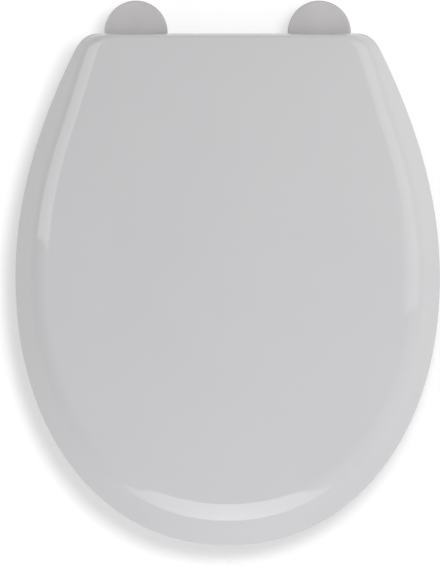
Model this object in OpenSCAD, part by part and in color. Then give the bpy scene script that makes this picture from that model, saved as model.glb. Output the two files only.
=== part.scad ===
// Toilet seat with a lid that wraps over the ring, soft-close hinges and lift-off fixings.
// The origin is midway between the two fixing bolts, on the face of the pan.
// +X is to the right seen from above, +Y is to the rear, +Z is up.

/* [Lid] */
// Width of the lid
lid_width = 370; // [350:1:390]
// Length of the lid
lid_length = 445; // [420:1:470]
// Distance from the lid's rear edge to its widest line
lid_widest = 210; // [190:1:230]
// How much narrower each half is at the rear edge
rear_narrowing = 60; // [40:1:75]
// Length of the rounding along each side of a rear corner
corner_length = 13; // [8:0.5:20]
// Wall thickness
lid_wall = 3.5; // [3:0.1:5]
// Height of the rim above the pan
rim_height = 12; // [9:0.5:16]
// Width of the sloped border at the sides
side_slope = 14; // [10:0.5:18]
// Width of the sloped border at the front
front_slope = 21; // [16:0.5:26]
// Width of the rounding between the border and the flat at the sides
side_bend = 13; // [8:0.5:16]
// Width of the rounding between the border and the flat at the front
front_bend = 18; // [12:0.5:22]
// Rise of the crowned top from its edge to its middle
crown_rise = 2; // [1:0.25:4]
// Drop of the top from the rear to the front
front_drop = 5; // [0:0.5:8]

/* [Ring] */
// Width of the opening
opening_width = 216; // [200:1:230]
// Length of the opening
opening_length = 274; // [250:1:290]
// Width of the ring behind the opening
rear_band = 58; // [50:1:70]
// Height of the ring's crest above the pan
ring_height = 24; // [21:0.5:26]
// Gap under the ring
ring_lift = 6; // [5:0.5:8]
// Wall thickness
ring_wall = 4.5; // [4:0.1:6]
// Inset of the ring from the lid's outline at the sides
ring_inset = 9; // [8:0.5:11]
// Inset of the ring from the lid's outline at the front
ring_front_inset = 13; // [11:0.5:16]

/* [Hinges] */
// Distance between the two fixing bolts
fixing_spacing = 160; // [150:1:170]
// Distance from the bolts forward to the lid's rear edge
lid_setback = 2.5; // [2:0.25:4]
// Distance from the lid's rear edge forward to the hinge axis
axis_inset = 10; // [9.5:0.25:11]
// Height of the hinge axis above the pan
axis_height = 33; // [32:0.5:36]
// Width of a hinge post
post_width = 24; // [24:0.5:28]
// Depth of a hinge post, front to back
post_depth = 16; // [15:0.5:17]
// Radius of the post's barrel
barrel_r = 9; // [8.8:0.1:9.4]
// Width of a hinge ear
ear_width = 12; // [11:0.5:14]
// Gap between an ear and its post
ear_gap = 0.4; // [0.3:0.05:0.6]
// Radius of a damper cartridge
damper_r = 6.5; // [6:0.1:6.8]
// Length of a damper cartridge
damper_length = 16; // [15:0.5:17]
// Radius of a damper's shaft
shaft_r = 3.5; // [3:0.1:3.8]
// Radius of a plain hinge pin
pin_r = 3; // [2.5:0.1:3.2]

/* [Fixings] */
// Radius of a cover disc
disc_r = 27.5; // [26:0.5:30]
// Height of a cover disc
disc_height = 10; // [9.5:0.25:11]
// Radius of the fixing bolts
bolt_r = 4; // [3:0.5:4]
// Length of the fixing bolts below the pan's face
bolt_reach = 60; // [50:1:80]
// Thickness of the pan under the fixings
pan_thickness = 20; // [15:1:28]
// Radius of a stud
stud_r = 4; // [3.8:0.1:4.4]
// Travel of a release button
button_travel = 2.5; // [2:0.1:2.5]

/* [Hidden] */
$fn = 64;

running_gap = 0.05;
loose_gap = 0.3;
overrun = 1;

// Places
hinge_x = fixing_spacing / 2;
lid_rear = -lid_setback;
lid_front = lid_rear - lid_length;
widest_y = lid_rear - lid_widest;
axis_y = lid_rear - axis_inset;
post_back = axis_y + axis_inset / 2;
post_front = post_back - post_depth;
stud_y = (post_back + post_front) / 2;
ear_r = barrel_r + 0.5;
ear_out = post_width / 2 + ear_gap;
ear_end = ear_out + ear_width;

// Outline: the sides follow one power curve behind the widest line, and the front another
side_power = 1.93;
front_power = 2.13;
rear_steps = 4;
corner_steps = 4;
side_steps = 12;
front_steps = 24;

// A point on a curve that leaves a for c and arrives at b
function bend(a, c, b, t) = a * (1 - t) * (1 - t) + c * 2 * t * (1 - t) + b * t * t;

// Half-width of the side at depth y, for an outline that is half_w wide at its widest line
function side_x(half_w, y) =
    half_w - rear_narrowing * pow(max(y - widest_y, 0) / lid_widest, side_power);

// Right half of an outline from the middle of its rear edge to the middle of its front
function half_outline(half_w, rear, front) =
    let(
        corner = [side_x(half_w, rear), rear],
        on_side = [side_x(half_w, rear - corner_length), rear - corner_length],
        on_rear = [corner[0] - corner_length, rear]
    )
    concat(
        [for (i = [0:rear_steps]) on_rear * (i / rear_steps) + [0, rear] * (1 - i / rear_steps)],
        [for (i = [1:corner_steps]) bend(on_rear, corner, on_side, i / corner_steps)],
        [for (i = [1:side_steps])
            let(y = on_side[1] + (widest_y - on_side[1]) * i / side_steps) [side_x(half_w, y), y]],
        [for (i = [1:front_steps])
            let(a = 90 * i / front_steps)
            [
                half_w * pow(max(cos(a), 0), 2 / front_power),
                widest_y - (widest_y - front) * pow(sin(a), 2 / front_power)
            ]]
    );

// A whole outline from its right half
function whole(half) =
    concat(half, [for (i = [len(half) - 2:-1:1]) [-half[i][0], half[i][1]]]);

// The lid's outline drawn in by different amounts at the sides, front and rear
function lid_outline(side_in, front_in, rear_in) =
    whole(half_outline(lid_width / 2 - side_in, lid_rear - rear_in, lid_front + front_in));

// The opening's outline, with its points paired to those of the ring's outer outline
opening_power = 2.1;
ring_clear = 6.5;
ring_rear = post_front - ring_clear;
opening_rear = ring_rear - rear_band;
opening_y = opening_rear - opening_length / 2;
back_steps = rear_steps + corner_steps + side_steps;
function opening_point(a) =
    [
        opening_width / 2 * pow(max(cos(a), 0), 2 / opening_power),
        opening_y - opening_length / 2 * sign(a) * pow(abs(sin(a)), 2 / opening_power)
    ];
opening_outline = whole(concat(
    [for (i = [0:back_steps]) opening_point(-90 + 90 * i / back_steps)],
    [for (i = [1:front_steps]) opening_point(90 * i / front_steps)]
));
ring_outline = whole(half_outline(
    lid_width / 2 - ring_inset, ring_rear, lid_front + ring_front_inset
));

// Faces between neighbouring loops of n points, the loops listed one after another
function band_faces(n, loops, closed) = [
    for (k = [0:loops - (closed ? 1 : 2)])
        for (i = [0:n - 1])
            let(
                a = k * n + i,
                b = k * n + (i + 1) % n,
                c = (k + 1) % loops * n + (i + 1) % n,
                d = (k + 1) % loops * n + i
            )
            each [[a, b, c], [a, c, d]]
];

// A closed skin through a list of loops, with a point in the middle of each end
module loft(first_point, loops, last_point) {
    n = len(loops[0]);
    count = len(loops);
    points = concat([for (loop = loops) each loop], [first_point, last_point]);
    faces = concat(
        band_faces(n, count, false),
        [for (i = [0:n - 1]) [count * n, (i + 1) % n, i]],
        [for (i = [0:n - 1]) [count * n + 1, (count - 1) * n + i, (count - 1) * n + (i + 1) % n]]
    );
    polyhedron(points, faces);
}

// A wire of radius r along a path of points in a level plane, with flat ends
module wire(path, r, sides) {
    last = len(path) - 1;
    function heading(i) =
        let(d = path[min(i + 1, last)] - path[max(i - 1, 0)]) d / norm(d);
    loops = [
        for (i = [0:last])
            let(d = heading(i), across = [d[1], -d[0], 0])
            [for (j = [0:sides - 1])
                path[i] + r * cos(360 * j / sides) * across + [0, 0, r * sin(360 * j / sides)]]
    ];
    loft(path[0], loops, path[last]);
}

// Heights of the lid's skin
top_height = axis_height + ear_r + lid_wall + 0.6;
shoulder_height = top_height - 8;
rear_rim = axis_height - 2;
edge_step = 1.5;
rise_length = 78;

// The rim sweeps up towards the hinges, to clear the ring as the lid turns
function rim_z(y) =
    rim_height + (rear_rim - rim_height) * pow(max(1 - (lid_rear - y) / rise_length, 0), 1.5);

// The top falls a little from the rear to the front
function drop(y) = front_drop * (lid_rear - y) / lid_length;

// How much narrower the sloped border is at depth y, where the rim that cuts it is higher
function border_loss(y) =
    side_slope * (rim_z(y) - rim_height) / (shoulder_height - rim_height);

// A level loop of the lid's skin at a height that is measured at the rear
function lid_loop(side_in, front_in, rear_in, z) = [
    for (p = lid_outline(side_in, front_in, rear_in))
        [p[0] * (1 + border_loss(p[1]) / side_x(lid_width / 2 - side_in, p[1])), p[1], z - drop(p[1])]
];

// A loop along the rim
function rim_loop(side_in, rear_in, up) =
    [for (p = lid_outline(side_in, side_in, rear_in)) [p[0], p[1], rim_z(p[1]) + up]];

// The rounding from the sloped border to the flat, as insets and height at step t
rear_lean = 0.8;
rear_bend = 4;
slope_share = (top_height - shoulder_height) / (shoulder_height - rim_height);
function border(t) =
    bend(
        [side_slope, front_slope, rear_lean, shoulder_height],
        [
            side_slope * (1 + slope_share * 0.9),
            front_slope * (1 + slope_share * 0.9),
            rear_lean + 0.4,
            top_height
        ],
        [side_slope + side_bend, front_slope + front_bend, rear_lean + rear_bend, top_height],
        t
    );
bend_steps = 4;
crown_steps = [0.75, 0.5, 0.25];
middle = [0, (lid_rear + lid_front) / 2];

// Points on the way from the flat's edge to its middle
function crown_loop(edge, k, rise) =
    [for (p = edge)
        let(x = p[0] * k, y = middle[1] + (p[1] - middle[1]) * k)
        [x, y, p[2] + drop(p[1]) - drop(y) + rise * (1 - k * k)]];

function outer_loop(t) = let(b = border(t)) lid_loop(b[0], b[1], b[2], b[3]);
function inner_loop(t) =
    let(b = border(t))
    lid_loop(
        b[0] + lid_wall * (1 - t * 0.9),
        b[1] + lid_wall * (1 - t * 0.9),
        b[2] + lid_wall,
        b[3] - lid_wall * (0.45 + t * 0.55)
    );

module lid_skin() {
    top_edge = outer_loop(1);
    under_edge = inner_loop(1);
    top_middle = [middle[0], middle[1], top_height - drop(middle[1]) + crown_rise];
    loft(
        top_middle - [0, 0, lid_wall],
        concat(
            [for (i = [len(crown_steps) - 1:-1:0]) crown_loop(under_edge, crown_steps[i], crown_rise)],
            [for (i = [bend_steps:-1:0]) inner_loop(i / bend_steps)],
            [rim_loop(lid_wall + 0.8, lid_wall, 0.4)],
            [rim_loop(1, 0.6, 0)],
            [rim_loop(0, 0, edge_step)],
            [for (i = [0:bend_steps]) outer_loop(i / bend_steps)],
            [for (k = crown_steps) crown_loop(top_edge, k, crown_rise)]
        ),
        top_middle
    );
}

// A place on the ring at a station of its outlines and a share of the way in to the opening
function ring_place(i, share) = ring_outline[i] * (1 - share) + opening_outline[i] * share;

// Places of the rubber pads, on the right half: the lid's over the ring's crest, the ring's mid-band
crest_share = 0.26;
side_station = rear_steps + corner_steps + 5;
lid_pads = [ring_place(side_station, crest_share), ring_place(back_steps + 9, crest_share)];
ring_pads = [ring_place(side_station, 0.5), ring_place(back_steps + 18, 0.5)];
peg_r = 2.5;
peg_length = 5;
lid_pad_r = 6;
lid_pad_top = ring_height + 6;
ring_pad_r = 8;
boss_wall = 1;

// Children at each of the given places and at their mirror images
module at_pads(places) {
    for (p = places) {
        translate([p[0], p[1], 0])
            children();
        translate([-p[0], p[1], 0])
            children();
    }
}

// Children put at a hinge: side -1 is the left one and 1 the right one, and the children's +X is outward
module at_hinge(side) {
    if (side < 0)
        mirror([1, 0, 0])
            translate([hinge_x, 0, 0])
                children();
    else
        translate([hinge_x, 0, 0])
            children();
}

// A cylinder along X on the hinge axis, between two distances from the post's middle
module axis_rod(from, to, r) {
    translate([from, axis_y, axis_height])
        rotate([0, 90, 0])
            cylinder(h = to - from, r = r);
}

// The end of a damper's shaft, with two flats, grown by a gap
flat_half = shaft_r * 0.72;
module keyed_end(from, to, grow) {
    intersection() {
        axis_rod(from, to, shaft_r + grow);
        translate([from - overrun, axis_y - flat_half - grow, axis_height - shaft_r - overrun])
            cube([to - from + 2 * overrun, 2 * (flat_half + grow), 2 * (shaft_r + overrun)]);
    }
}

// Depth of the holes in the ears, which stop short of the outer face
hole_end = ear_end - 1.5;
shaft_end = hole_end - 0.5;
bush_r = pin_r + 2;

// The lid's hinge ear outside a post
module lid_ear() {
    axis_rod(ear_out, ear_end, ear_r);
    translate([ear_out, axis_y - ear_r * 0.8, axis_height])
        cube([ear_width, ear_r * 0.8 + axis_inset - 2, ear_r + 1.6]);
}

// Room in the lid's rear wall for a post and the ring's ear beside it
module doorway() {
    from = -ear_end - 1;
    translate([from, post_front - 4, axis_height - 12])
        cube([ear_out - from, lid_rear - post_front + 4 + overrun, 12 + ear_r + 0.8]);
}

module lid() {
    color("gainsboro")
    difference() {
        union() {
            lid_skin();
            for (side = [-1, 1])
                at_hinge(side)
                    lid_ear();
            for (place = lid_pads)
                at_pads([place])
                    translate([0, 0, lid_pad_top])
                        cylinder(
                            h = top_height - drop(place[1]) - 0.35 * lid_wall - lid_pad_top,
                            r = lid_pad_r + boss_wall
                        );
        }
        for (side = [-1, 1])
            at_hinge(side)
                doorway();
        at_hinge(-1)
            keyed_end(ear_out - overrun, hole_end, running_gap);
        at_hinge(1)
            axis_rod(ear_out - overrun, hole_end, bush_r + 0.02);
        at_pads(lid_pads)
            translate([0, 0, lid_pad_top - overrun])
                cylinder(h = peg_length + overrun + 0.3, r = peg_r + running_gap);
    }
}

// The ring's section as shares of the way from the outer outline to the opening, with heights
wall_share = ring_wall / (lid_width / 2 - ring_inset - opening_width / 2);
ring_section = [
    [0.015, ring_lift],
    [0, ring_lift + 2.5],
    [0.008, ring_lift + 7],
    [0.05, ring_height - 5.5],
    [0.13, ring_height - 1.8],
    [crest_share, ring_height],
    [0.45, ring_height - 0.6],
    [0.7, ring_height - 3.2],
    [0.89, ring_height - 7],
    [0.97, ring_height - 10.5],
    [1, ring_lift + 4],
    [0.985, ring_lift],
    [0.985 - wall_share, ring_lift],
    [0.9, ring_height - 7 - ring_wall],
    [0.68, ring_height - 3.4 - ring_wall],
    [0.3, ring_height - 0.4 - ring_wall],
    [0.16, ring_height - 1.8 - ring_wall],
    [0.015 + wall_share, ring_lift]
];

module ring_skin() {
    n = len(ring_outline);
    points = [
        for (s = ring_section)
            for (i = [0:n - 1])
                let(p = ring_place(i, s[0])) [p[0], p[1], s[1]]
    ];
    polyhedron(points, band_faces(n, len(ring_section), true));
}

// The ring's hinge ear inside a post
module ring_ear() {
    axis_rod(-ear_end, -ear_out, ear_r);
    translate([-ear_end, 0, 0])
        rotate([90, 0, 90])
            linear_extrude(height = ear_width)
                polygon([
                    [axis_y - ear_r * 0.3, axis_height + ear_r * 0.9],
                    [ring_rear - 4, ring_height - 3],
                    [ring_rear - 4, ring_lift + 3],
                    [ring_rear + 1, ring_lift + 3],
                    [axis_y + ear_r * 0.3, axis_height - ear_r * 0.9]
                ]);
}

module seat_ring() {
    color("gainsboro")
    difference() {
        union() {
            ring_skin();
            for (side = [-1, 1])
                at_hinge(side)
                    ring_ear();
            at_pads(ring_pads)
                translate([0, 0, ring_lift - 1])
                    cylinder(h = ring_height - ring_wall - ring_lift + 1, r = ring_pad_r + boss_wall);
        }
        at_hinge(-1)
            axis_rod(-hole_end, overrun - ear_out, bush_r + 0.02);
        at_hinge(1)
            keyed_end(-hole_end, overrun - ear_out, running_gap);
        at_pads(ring_pads)
            translate([0, 0, ring_lift - 1 - overrun])
                cylinder(h = peg_length + overrun + 0.3, r = peg_r + running_gap);
    }
}

// A rubber pad with a peg that stands up from it
module pad(z, height, r) {
    translate([0, 0, z])
        cylinder(h = height, r = r);
    translate([0, 0, z])
        cylinder(h = height + peg_length, r = peg_r);
}

module ring_buffers() {
    color("whitesmoke")
    at_pads(ring_pads)
        pad(0, ring_lift - 1, ring_pad_r);
}

module lid_buffers() {
    color("whitesmoke")
    at_pads(lid_pads)
        pad(ring_height + loose_gap, lid_pad_top - ring_height - loose_gap, lid_pad_r);
}

// Radii along a fixing bolt: a shoulder fills the plate, then a plain shank, then the thread,
// which is smooth here and as thick as a real one is on average
shoulder_r = bolt_r + 0.5;
thread_r = bolt_r * 0.9;

// Heights of the stack on the pan
gasket_top = 1.5;
plate_top = 5;
disc_wall = 1.5;
disc_bevel = 1.3;
disc_under = disc_height - disc_wall;
plate_r = disc_r - 2.5;
post_bottom = disc_height + loose_gap;

module gasket(side) {
    color("dimgray")
    at_hinge(side)
        difference() {
            cylinder(h = gasket_top, r = plate_r);
            translate([0, 0, -overrun])
                cylinder(h = gasket_top + 2 * overrun, r = shoulder_r + loose_gap);
        }
}

module base_plate(side) {
    color("silver")
    at_hinge(side)
        difference() {
            translate([0, 0, gasket_top])
                cylinder(h = plate_top - gasket_top, r = plate_r);
            cylinder(h = plate_top + overrun, r = shoulder_r + running_gap);
            translate([0, stud_y, 0])
                cylinder(h = plate_top + overrun, r = tenon_r + running_gap);
        }
}

// Heights along the stud
catch_z = disc_height + 6.5;
stud_top = catch_z + 6;
neck_r = stud_r - 0.8;
tenon_r = stud_r - 1.4;
foot_r = stud_r + 2;
foot_top = disc_under - 0.2;
wire_r = 0.8;
wire_gap = 0.1;
groove_half = wire_r + wire_gap;

module stud(side) {
    color("silver")
    at_hinge(side)
        translate([0, stud_y, 0])
            rotate_extrude()
                polygon([
                    [0, gasket_top + 0.1],
                    [tenon_r, gasket_top + 0.1],
                    [tenon_r, plate_top],
                    [foot_r, plate_top],
                    [foot_r, foot_top],
                    [stud_r, foot_top],
                    [stud_r, catch_z - groove_half],
                    [neck_r, catch_z - groove_half],
                    [neck_r, catch_z + groove_half],
                    [stud_r, catch_z + groove_half],
                    [stud_r, stud_top - 2],
                    [stud_r - 1.8, stud_top],
                    [0, stud_top]
                ]);
}

module cover_disc(side) {
    color("darkgray")
    at_hinge(side)
        difference() {
            rotate_extrude()
                polygon([
                    [0, disc_under],
                    [disc_r - disc_wall, disc_under],
                    [disc_r - disc_wall, 0.3],
                    [disc_r, 0.3],
                    [disc_r, disc_height - disc_bevel],
                    [disc_r - disc_bevel, disc_height],
                    [0, disc_height]
                ]);
            translate([0, stud_y, disc_under - overrun])
                cylinder(h = disc_wall + 2 * overrun, r = stud_r + 0.3);
        }
}

// Heights of the fixings under the pan
cone_height = 8;
thread_top = cone_height - pan_thickness;
washer_height = 5;
washer_r = 13;
cone_r = 7.5;
nut_hub_r = 9;
nut_height = 12;
flange_height = 2.5;
flange_r = nut_hub_r + 2.5;
wing_reach = 20;
wing_thickness = 4;
nut_top = -pan_thickness - washer_height;

module bolt(side) {
    head_r = bolt_r * 1.85;
    head_top = disc_under - 0.2;
    tip = 1;
    color("silver")
    at_hinge(side)
        difference() {
            rotate_extrude()
                polygon([
                    [0, -bolt_reach],
                    [thread_r - tip, -bolt_reach],
                    [thread_r, tip - bolt_reach],
                    [thread_r, thread_top],
                    [bolt_r, thread_top],
                    [bolt_r, 0],
                    [shoulder_r, 0],
                    [shoulder_r, plate_top],
                    [head_r, plate_top],
                    [head_r, head_top - 0.5],
                    [head_r - 0.5, head_top],
                    [0, head_top]
                ]);
            translate([0, 0, plate_top + 0.8])
                cylinder(h = disc_height, r = bolt_r * 0.72, $fn = 6);
        }
}

module cone_washer(side) {
    color("dimgray")
    at_hinge(side)
        translate([0, 0, -pan_thickness])
            difference() {
                union() {
                    translate([0, 0, -washer_height])
                        cylinder(h = washer_height, r = washer_r);
                    cylinder(h = cone_height, r1 = cone_r, r2 = bolt_r + 1.4);
                }
                translate([0, 0, -washer_height - overrun])
                    cylinder(h = washer_height + cone_height + 2 * overrun, r = bolt_r + 0.1);
            }
}

module wing_nut(side) {
    color("whitesmoke")
    at_hinge(side)
        difference() {
            union() {
                translate([0, 0, nut_top - nut_height])
                    cylinder(h = nut_height, r = nut_hub_r);
                translate([0, 0, nut_top - flange_height])
                    cylinder(h = flange_height, r = flange_r);
                for (turn = [0, 180])
                    rotate([90, 0, turn])
                        linear_extrude(height = wing_thickness, center = true)
                            polygon([
                                [nut_hub_r - 2, nut_top - nut_height + 1],
                                [wing_reach - 3, nut_top - nut_height - 5],
                                [wing_reach, nut_top - nut_height - 2],
                                [wing_reach - 1, nut_top - 7],
                                [nut_hub_r - 2, nut_top - 3.5]
                            ]);
            }
            translate([0, 0, nut_top - nut_height - overrun])
                cylinder(h = nut_height + 2 * overrun, r = thread_r + running_gap);
        }
}

// Sizes of the catch and its button, measured outward from the post's middle
half_post = post_width / 2;
nose_start = stud_r + button_travel + 0.4;
nose_length = 1.1;
neck_length = 1.9;
ramp_length = 2.2;
nose_r = 2.2;
button_neck_r = 1.2;
button_r = 4.2;
head_start = nose_start + nose_length + neck_length + ramp_length;
head_end = half_post + button_travel + 1.5;
leg_y = neck_r + wire_r + wire_gap;
leg_end = nose_start + nose_length + 0.9;
slot_half = stud_r + 2 * wire_r + 0.3;

// Places the children's +Z outward along a release button's line
module on_button_line(side) {
    at_hinge(side)
        translate([0, stud_y, catch_z])
            rotate([0, 90, 0])
                children();
}

// side says which hinge, and damper_side is 1 if its damper faces outward and -1 if inward
module post(side, damper_side) {
    damper_mouth = damper_side * (half_post + overrun);
    damper_floor = damper_side * (half_post - damper_length);
    pin_floor = -damper_side * pin_depth;
    color("whitesmoke")
    at_hinge(side)
        difference() {
            union() {
                axis_rod(-half_post, half_post, barrel_r);
                translate([-half_post, 0, 0])
                    rotate([90, 0, 90])
                        linear_extrude(height = post_width)
                            polygon([
                                [post_front, post_bottom],
                                [post_back, post_bottom],
                                [post_back, axis_height - 4],
                                [axis_y, axis_height],
                                [axis_y - barrel_r * 0.66, axis_height + barrel_r * 0.7],
                                [post_front, axis_height + 1.5]
                            ]);
            }
            axis_rod(min(damper_mouth, damper_floor), max(damper_mouth, damper_floor), damper_r + running_gap);
            axis_rod(
                min(pin_floor, -damper_mouth),
                max(pin_floor, -damper_mouth),
                pin_r + 0.02
            );
            translate([0, stud_y, post_bottom - overrun])
                cylinder(h = stud_top + 0.6 - post_bottom + overrun, r = stud_r + 0.15);
            translate([-stud_r - 4.2, stud_y - slot_half, catch_z - wire_r - 0.2])
                cube([stud_r + 4.2 + half_post - 1.2, 2 * slot_half, 2 * wire_r + 0.4]);
            translate([nose_start - button_travel - 0.3, stud_y, catch_z])
                rotate([0, 90, 0])
                    cylinder(h = half_post, r = button_r + 0.1);
        }
}

// A hairpin of wire: round the stud, along both its sides, and in to the button's neck
module catch_spring(side) {
    bend_steps_wire = 10;
    tip_y = button_neck_r + wire_r + 0.15;
    half = concat(
        [for (i = [0:bend_steps_wire / 2])
            let(a = 180 - 90 * i / (bend_steps_wire / 2)) [leg_y * cos(a), leg_y * sin(a), 0]],
        [
            [leg_end - 2.2, leg_y, 0],
            [leg_end - 1, leg_y - 0.3, 0],
            [leg_end, leg_y - 1.1, 0],
            [leg_end, tip_y, 0]
        ]
    );
    path = concat(
        [for (i = [len(half) - 1:-1:1]) [half[i][0], -half[i][1], 0]],
        half
    );
    color("silver")
    at_hinge(side)
        translate([0, stud_y, catch_z])
            wire(path, wire_r, 8);
}

module release_button(side) {
    color("gray")
    on_button_line(side)
        rotate_extrude()
            polygon([
                [0, nose_start],
                [nose_r - 0.7, nose_start],
                [nose_r, nose_start + nose_length],
                [button_neck_r, nose_start + nose_length],
                [button_neck_r, nose_start + nose_length + neck_length],
                [button_r, head_start],
                [button_r, head_end - 0.6],
                [button_r - 0.6, head_end],
                [0, head_end]
            ]);
}

// Lengths inside a damper cartridge, measured from its floor
damper_base = 2;
rotor_r = damper_r - 1.5;
cap_thickness = 2.6;
rotor_end = damper_length - cap_thickness - 0.2;
pin_depth = half_post - (damper_length - half_post) - 1.2;

// Places the children's +Z along the hinge axis out of a damper's mouth, from its floor
module at_damper(side, damper_side) {
    at_hinge(side)
        translate([damper_side * (half_post - damper_length), axis_y, axis_height])
            rotate([0, 90 * damper_side, 0])
                children();
}

module damper_body(side, damper_side) {
    color("dimgray")
    at_damper(side, damper_side)
        difference() {
            cylinder(h = damper_length, r = damper_r);
            translate([0, 0, damper_base])
                cylinder(h = damper_length, r = rotor_r + running_gap);
        }
}

module damper_cap(side, damper_side) {
    color("silver")
    at_damper(side, damper_side)
        translate([0, 0, damper_length - cap_thickness])
            difference() {
                cylinder(h = cap_thickness, r = rotor_r + running_gap - 0.01);
                translate([0, 0, -overrun])
                    cylinder(h = cap_thickness + 2 * overrun, r = shaft_r + 0.06);
            }
}

module damper_shaft(side, damper_side) {
    reach = shaft_end - half_post + damper_length;
    color("silver")
    at_damper(side, damper_side) {
        translate([0, 0, damper_base + 0.2])
            cylinder(h = rotor_end - damper_base - 0.2, r = rotor_r);
        translate([0, 0, damper_base + 0.2])
            cylinder(h = damper_length + ear_gap - damper_base - 0.2, r = shaft_r);
        intersection() {
            translate([0, 0, rotor_end - overrun])
                cylinder(h = reach - rotor_end + overrun, r = shaft_r);
            translate([-shaft_r - overrun, -flat_half, rotor_end - 2 * overrun])
                cube([2 * (shaft_r + overrun), 2 * flat_half, reach]);
        }
    }
}

module plain_pin(side, pin_side) {
    from = pin_side * (pin_depth + 0.2);
    to = pin_side * shaft_end;
    color("silver")
    at_hinge(side)
        axis_rod(min(from, to), max(from, to), pin_r);
}

module plain_bush(side, pin_side) {
    from = pin_side * ear_out;
    to = pin_side * (hole_end - 0.1);
    color("whitesmoke")
    at_hinge(side)
        difference() {
            axis_rod(min(from, to), max(from, to), bush_r);
            axis_rod(min(from, to) - overrun, max(from, to) + overrun, pin_r + running_gap);
        }
}

lid();
seat_ring();
ring_buffers();
lid_buffers();
cover_disc(-1);  // left_cover_disc
cover_disc(1);  // right_cover_disc
gasket(-1);  // left_gasket
gasket(1);  // right_gasket
base_plate(-1);  // left_base_plate
base_plate(1);  // right_base_plate
stud(-1);  // left_stud
stud(1);  // right_stud
bolt(-1);  // left_bolt
bolt(1);  // right_bolt
cone_washer(-1);  // left_cone_washer
cone_washer(1);  // right_cone_washer
wing_nut(-1);  // left_wing_nut
wing_nut(1);  // right_wing_nut
post(-1, 1);  // left_post
post(1, -1);  // right_post
catch_spring(-1);  // left_catch_spring
catch_spring(1);  // right_catch_spring
release_button(-1);  // left_release_button
release_button(1);  // right_release_button
damper_body(-1, 1);  // lid_damper_body
damper_cap(-1, 1);  // lid_damper_cap
damper_shaft(-1, 1);  // lid_damper_shaft
damper_body(1, -1);  // ring_damper_body
damper_cap(1, -1);  // ring_damper_cap
damper_shaft(1, -1);  // ring_damper_shaft
plain_pin(-1, -1);  // left_ring_pin
plain_bush(-1, -1);  // left_ring_bush
plain_pin(1, 1);  // right_lid_pin
plain_bush(1, 1);  // right_lid_bush
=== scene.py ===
# A toilet seat lying closed on white, seen from straight above.
# Sizes here are in millimetres and become metres when a piece is finished.
import bpy
import bmesh
from math import radians, sin, cos, pi
from mathutils import Matrix, Vector
from mathutils.bvhtree import BVHTree


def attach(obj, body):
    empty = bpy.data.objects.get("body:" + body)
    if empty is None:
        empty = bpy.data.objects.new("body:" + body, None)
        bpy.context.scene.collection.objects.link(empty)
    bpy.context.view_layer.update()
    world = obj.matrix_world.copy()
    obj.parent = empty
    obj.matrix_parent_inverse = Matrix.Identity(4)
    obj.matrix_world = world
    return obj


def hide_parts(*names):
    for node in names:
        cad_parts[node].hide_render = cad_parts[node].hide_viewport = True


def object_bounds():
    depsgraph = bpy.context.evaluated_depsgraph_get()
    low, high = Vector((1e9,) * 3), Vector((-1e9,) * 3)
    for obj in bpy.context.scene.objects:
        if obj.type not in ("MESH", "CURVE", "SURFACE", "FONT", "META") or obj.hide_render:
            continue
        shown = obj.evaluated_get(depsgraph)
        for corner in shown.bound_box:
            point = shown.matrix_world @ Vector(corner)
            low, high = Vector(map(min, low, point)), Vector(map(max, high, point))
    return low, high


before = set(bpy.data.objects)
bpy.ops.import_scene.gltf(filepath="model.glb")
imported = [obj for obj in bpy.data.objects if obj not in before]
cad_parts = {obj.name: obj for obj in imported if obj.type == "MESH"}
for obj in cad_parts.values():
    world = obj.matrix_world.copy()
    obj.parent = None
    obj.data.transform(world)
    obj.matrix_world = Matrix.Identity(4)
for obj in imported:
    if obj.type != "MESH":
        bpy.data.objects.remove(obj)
cadLow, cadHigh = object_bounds()
scene = bpy.context.scene
mm = 0.001
print("frame loaded:", len(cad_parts), "nodes")


# Finishes

def addNode(tree, kind, **inputs):
    made = tree.nodes.new(kind)
    for name, value in inputs.items():
        made.inputs[name.replace("_", " ")].default_value = value
    return made


def speckle(tree, coords, scale, detail=3.0, stretch=(1, 1, 1)):
    mapping = addNode(tree, "ShaderNodeMapping", Scale=stretch)
    noise = addNode(tree, "ShaderNodeTexNoise", Scale=scale, Detail=detail, Roughness=0.55)
    tree.links.new(coords, mapping.inputs["Vector"])
    tree.links.new(mapping.outputs["Vector"], noise.inputs["Vector"])
    return noise.outputs["Fac"]


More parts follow.
